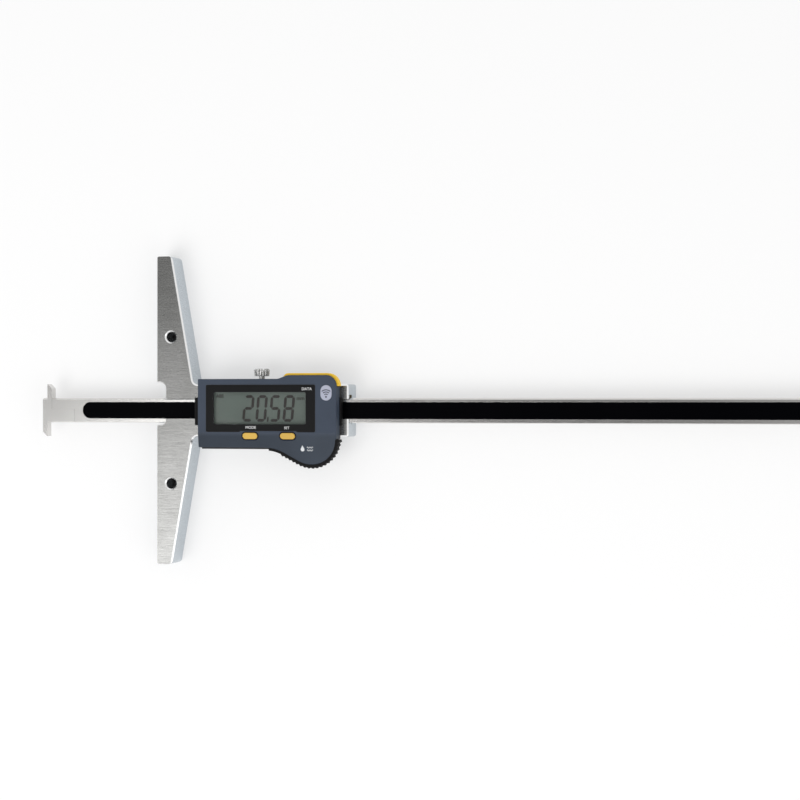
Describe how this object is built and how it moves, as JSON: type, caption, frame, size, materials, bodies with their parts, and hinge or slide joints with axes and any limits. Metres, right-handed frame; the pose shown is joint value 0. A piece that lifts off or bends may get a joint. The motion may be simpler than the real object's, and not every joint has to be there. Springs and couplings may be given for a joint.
{
  "type": "digital depth gauge",
  "caption": "Digital depth gauge: steel cross base and stem, sliding beam with a double-hook tip, display case with keys.",
  "frame": {"origin": "on the measuring face of the base, on the beam's centre line, in the plane of the back", "axes": "+X along the beam from the measuring face towards the display, +Y across the beam along the base, +Z out of the display"},
  "size_m": [0.4085, 0.15, 0.0204],
  "materials": {
    "ground_steel": "fine ground stainless steel",
    "beam_steel": "satin ground stainless steel",
    "knurled_steel": "bright turned steel",
    "screw_steel": "plain steel",
    "gib_brass": "plain",
    "scale_black": "glossy black laminate",
    "case_slate": "fine grained slate plastic",
    "chassis_black": "matt black plastic",
    "bezel_black": "satin black plastic",
    "lens_clear": "clear hard coated",
    "lcd_grey": "grey-green liquid crystal",
    "key_yellow": "fine matt yellow plastic",
    "rubber_black": "matt",
    "inner_plastic": "plain white plastic",
    "board_green": "solder mask",
    "chip_black": "epoxy",
    "cell_steel": "plated",
    "badge_silver": "satin silver"
  },
  "bodies": {
    "gauge_body": {"base_frame": "ground_steel", "gib_strip": "gib_brass", "gib_screws": "screw_steel", "chassis": "chassis_black", "case_seal": "rubber_black", "front_cover": "case_slate", "case_screws": "screw_steel", "window_bezel": "bezel_black", "window_lens": "lens_clear", "lcd_panel": "lcd_grey", "lcd_holder": "inner_plastic", "elastomer_connector": "rubber_black", "circuit_board": "board_green", "sensor_board": "board_green", "board_link": "inner_plastic", "controller_chip": "chip_black", "key_mat": "rubber_black", "data_switch": "chip_black", "battery": "cell_steel", "battery_contact": "cell_steel", "battery_cover": "chassis_black", "battery_seal": "rubber_black", "battery_screws": "screw_steel", "thumb_grip": "rubber_black", "front_wiper": "rubber_black", "rear_wiper": "rubber_black", "badge": "badge_silver"},
    "slide_beam": {"beam": "beam_steel", "scale_strip": "scale_black", "hook_tip": "beam_steel", "hook_pins": "screw_steel", "end_stop": "screw_steel", "end_stop_screws": "screw_steel"},
    "lock": {"lock_screw": "knurled_steel"},
    "key_mode": {"mode_key": "key_yellow"},
    "key_set": {"set_key": "key_yellow"},
    "key_data": {"data_key": "key_yellow"}
  },
  "joints": [
    {"name": "beam_slide", "type": "slide", "parent": "gauge_body", "child": "slide_beam", "axis": [-1, 0, 0], "range_m": [-0.05895, 0.24095]},
    {"name": "lock_turn", "type": "hinge", "parent": "gauge_body", "child": "lock", "pos_m": [0.0525, 0.018, 0.00915], "axis": [0, 1, 0], "range_deg": [-180, 180]},
    {"name": "mode_press", "type": "slide", "parent": "gauge_body", "child": "key_mode", "axis": [0, 0, -1], "range_m": [0, 0.0004], "stiffness_N_per_m": 1500},
    {"name": "set_press", "type": "slide", "parent": "gauge_body", "child": "key_set", "axis": [0, 0, -1], "range_m": [0, 0.0004], "stiffness_N_per_m": 1500},
    {"name": "data_press", "type": "slide", "parent": "gauge_body", "child": "key_data", "axis": [0, -1, 0], "range_m": [0, 0.0003], "stiffness_N_per_m": 1500}
  ]
}
